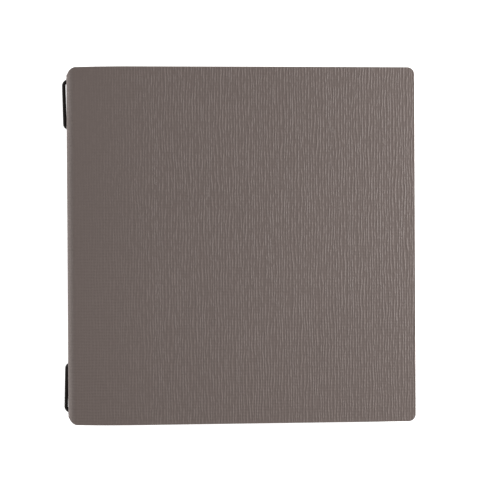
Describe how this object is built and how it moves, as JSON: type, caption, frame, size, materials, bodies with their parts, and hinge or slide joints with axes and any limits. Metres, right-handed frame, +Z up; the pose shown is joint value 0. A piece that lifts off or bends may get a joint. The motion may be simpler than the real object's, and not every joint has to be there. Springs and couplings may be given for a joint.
{
  "type": "scrapbook album",
  "caption": "Soft-cover square scrapbook album in linen-embossed taupe leatherette, with folded card sheets held to the rolled spine by black elastic loops.",
  "frame": {"origin": "middle of the underside of the back cover, halfway between the elastic loops and the fore edge", "axes": "+X from the spine to the fore edge, +Y to the head, +Z up through the closed album"},
  "size_m": [0.3147, 0.317, 0.0267],
  "materials": {
    "leatherette": "linen-embossed matt leatherette, taupe",
    "greyboard": "grey board",
    "lining": "smooth dark lining paper",
    "album_card": "uncoated ivory album card",
    "elastic_cord": "braided black elastic",
    "eyelet_black": "black lacquered",
    "crimp_metal": "satin nickel"
  },
  "bodies": {
    "back_cover": {"back_cover_skin": "leatherette", "back_board": "greyboard", "back_lining": "lining"},
    "spine": {"spine_skin": "leatherette", "spine_board": "greyboard", "spine_lining": "lining", "spine_eyelets": "eyelet_black", "upper_elastic": "elastic_cord", "lower_elastic": "elastic_cord", "elastic_crimps": "crimp_metal", "sheet_1_fold": "album_card", "sheet_2_fold": "album_card", "sheet_3_fold": "album_card", "sheet_4_fold": "album_card", "sheet_5_fold": "album_card", "sheet_6_fold": "album_card", "sheet_7_fold": "album_card", "sheet_8_fold": "album_card"},
    "front_cover": {"front_cover_skin": "leatherette", "front_board": "greyboard", "front_lining": "lining"},
    "sheet_1_front_leaf": {"sheet_1_front_leaf": "album_card"},
    "sheet_1_back_leaf": {"sheet_1_back_leaf": "album_card"},
    "sheet_2_front_leaf": {"sheet_2_front_leaf": "album_card"},
    "sheet_2_back_leaf": {"sheet_2_back_leaf": "album_card"},
    "sheet_3_front_leaf": {"sheet_3_front_leaf": "album_card"},
    "sheet_3_back_leaf": {"sheet_3_back_leaf": "album_card"},
    "sheet_4_front_leaf": {"sheet_4_front_leaf": "album_card"},
    "sheet_4_back_leaf": {"sheet_4_back_leaf": "album_card"},
    "sheet_5_front_leaf": {"sheet_5_front_leaf": "album_card"},
    "sheet_5_back_leaf": {"sheet_5_back_leaf": "album_card"},
    "sheet_6_front_leaf": {"sheet_6_front_leaf": "album_card"},
    "sheet_6_back_leaf": {"sheet_6_back_leaf": "album_card"},
    "sheet_7_front_leaf": {"sheet_7_front_leaf": "album_card"},
    "sheet_7_back_leaf": {"sheet_7_back_leaf": "album_card"},
    "sheet_8_front_leaf": {"sheet_8_front_leaf": "album_card"},
    "sheet_8_back_leaf": {"sheet_8_back_leaf": "album_card"}
  },
  "joints": [
    {"name": "spine_hinge", "type": "hinge", "parent": "back_cover", "child": "spine", "pos_m": [-0.15093, 0, 0.00172], "axis": [0, -1, 0], "range_deg": [0, 90]},
    {"name": "front_cover_hinge", "type": "hinge", "parent": "spine", "child": "front_cover", "pos_m": [-0.15093, 0, 0.02518], "axis": [0, -1, 0], "range_deg": [0, 91.48]},
    {"name": "sheet_1_front_crease", "type": "hinge", "parent": "spine", "child": "sheet_1_front_leaf", "pos_m": [-0.14905, 0, 0.0235], "axis": [0, -1, 0], "range_deg": [0, 91.49]},
    {"name": "sheet_1_back_crease", "type": "hinge", "parent": "spine", "child": "sheet_1_back_leaf", "pos_m": [-0.14905, 0, 0.0034], "axis": [0, 1, 0], "range_deg": [0, 90.01]},
    {"name": "sheet_2_front_crease", "type": "hinge", "parent": "spine", "child": "sheet_2_front_leaf", "pos_m": [-0.14825, 0, 0.02255], "axis": [0, -1, 0], "range_deg": [0, 90.39]},
    {"name": "sheet_2_back_crease", "type": "hinge", "parent": "spine", "child": "sheet_2_back_leaf", "pos_m": [-0.14825, 0, 0.00435], "axis": [0, 1, 0], "range_deg": [0, 88.93]},
    {"name": "sheet_3_front_crease", "type": "hinge", "parent": "spine", "child": "sheet_3_front_leaf", "pos_m": [-0.14745, 0, 0.0216], "axis": [0, -1, 0], "range_deg": [0, 89.29]},
    {"name": "sheet_3_back_crease", "type": "hinge", "parent": "spine", "child": "sheet_3_back_leaf", "pos_m": [-0.14745, 0, 0.0053], "axis": [0, 1, 0], "range_deg": [0, 87.85]},
    {"name": "sheet_4_front_crease", "type": "hinge", "parent": "spine", "child": "sheet_4_front_leaf", "pos_m": [-0.14665, 0, 0.02065], "axis": [0, -1, 0], "range_deg": [0, 88.2]},
    {"name": "sheet_4_back_crease", "type": "hinge", "parent": "spine", "child": "sheet_4_back_leaf", "pos_m": [-0.14665, 0, 0.00625], "axis": [0, 1, 0], "range_deg": [0, 86.77]},
    {"name": "sheet_5_front_crease", "type": "hinge", "parent": "spine", "child": "sheet_5_front_leaf", "pos_m": [-0.14585, 0, 0.0197], "axis": [0, -1, 0], "range_deg": [0, 87.1]},
    {"name": "sheet_5_back_crease", "type": "hinge", "parent": "spine", "child": "sheet_5_back_leaf", "pos_m": [-0.14585, 0, 0.0072], "axis": [0, 1, 0], "range_deg": [0, 85.69]},
    {"name": "sheet_6_front_crease", "type": "hinge", "parent": "spine", "child": "sheet_6_front_leaf", "pos_m": [-0.14505, 0, 0.01875], "axis": [0, -1, 0], "range_deg": [0, 86]},
    {"name": "sheet_6_back_crease", "type": "hinge", "parent": "spine", "child": "sheet_6_back_leaf", "pos_m": [-0.14505, 0, 0.00815], "axis": [0, 1, 0], "range_deg": [0, 84.61]},
    {"name": "sheet_7_front_crease", "type": "hinge", "parent": "spine", "child": "sheet_7_front_leaf", "pos_m": [-0.14425, 0, 0.0178], "axis": [0, -1, 0], "range_deg": [0, 84.9]},
    {"name": "sheet_7_back_crease", "type": "hinge", "parent": "spine", "child": "sheet_7_back_leaf", "pos_m": [-0.14425, 0, 0.0091], "axis": [0, 1, 0], "range_deg": [0, 83.53]},
    {"name": "sheet_8_front_crease", "type": "hinge", "parent": "spine", "child": "sheet_8_front_leaf", "pos_m": [-0.14345, 0, 0.01685], "axis": [0, -1, 0], "range_deg": [0, 83.81]},
    {"name": "sheet_8_back_crease", "type": "hinge", "parent": "spine", "child": "sheet_8_back_leaf", "pos_m": [-0.14345, 0, 0.01005], "axis": [0, 1, 0], "range_deg": [0, 82.45]}
  ],
  "couplings": [
    {"joint": "sheet_1_front_crease", "follows": "front_cover_hinge", "ratio": 1},
    {"joint": "sheet_1_back_crease", "follows": "spine_hinge", "ratio": 1},
    {"joint": "sheet_2_front_crease", "follows": "front_cover_hinge", "ratio": 0.988},
    {"joint": "sheet_2_back_crease", "follows": "spine_hinge", "ratio": 0.988},
    {"joint": "sheet_3_front_crease", "follows": "front_cover_hinge", "ratio": 0.976},
    {"joint": "sheet_3_back_crease", "follows": "spine_hinge", "ratio": 0.976},
    {"joint": "sheet_4_front_crease", "follows": "front_cover_hinge", "ratio": 0.964},
    {"joint": "sheet_4_back_crease", "follows": "spine_hinge", "ratio": 0.964},
    {"joint": "sheet_5_front_crease", "follows": "front_cover_hinge", "ratio": 0.952},
    {"joint": "sheet_5_back_crease", "follows": "spine_hinge", "ratio": 0.952},
    {"joint": "sheet_6_front_crease", "follows": "front_cover_hinge", "ratio": 0.94},
    {"joint": "sheet_6_back_crease", "follows": "spine_hinge", "ratio": 0.94},
    {"joint": "sheet_7_front_crease", "follows": "front_cover_hinge", "ratio": 0.928},
    {"joint": "sheet_7_back_crease", "follows": "spine_hinge", "ratio": 0.928},
    {"joint": "sheet_8_front_crease", "follows": "front_cover_hinge", "ratio": 0.916},
    {"joint": "sheet_8_back_crease", "follows": "spine_hinge", "ratio": 0.916}
  ]
}
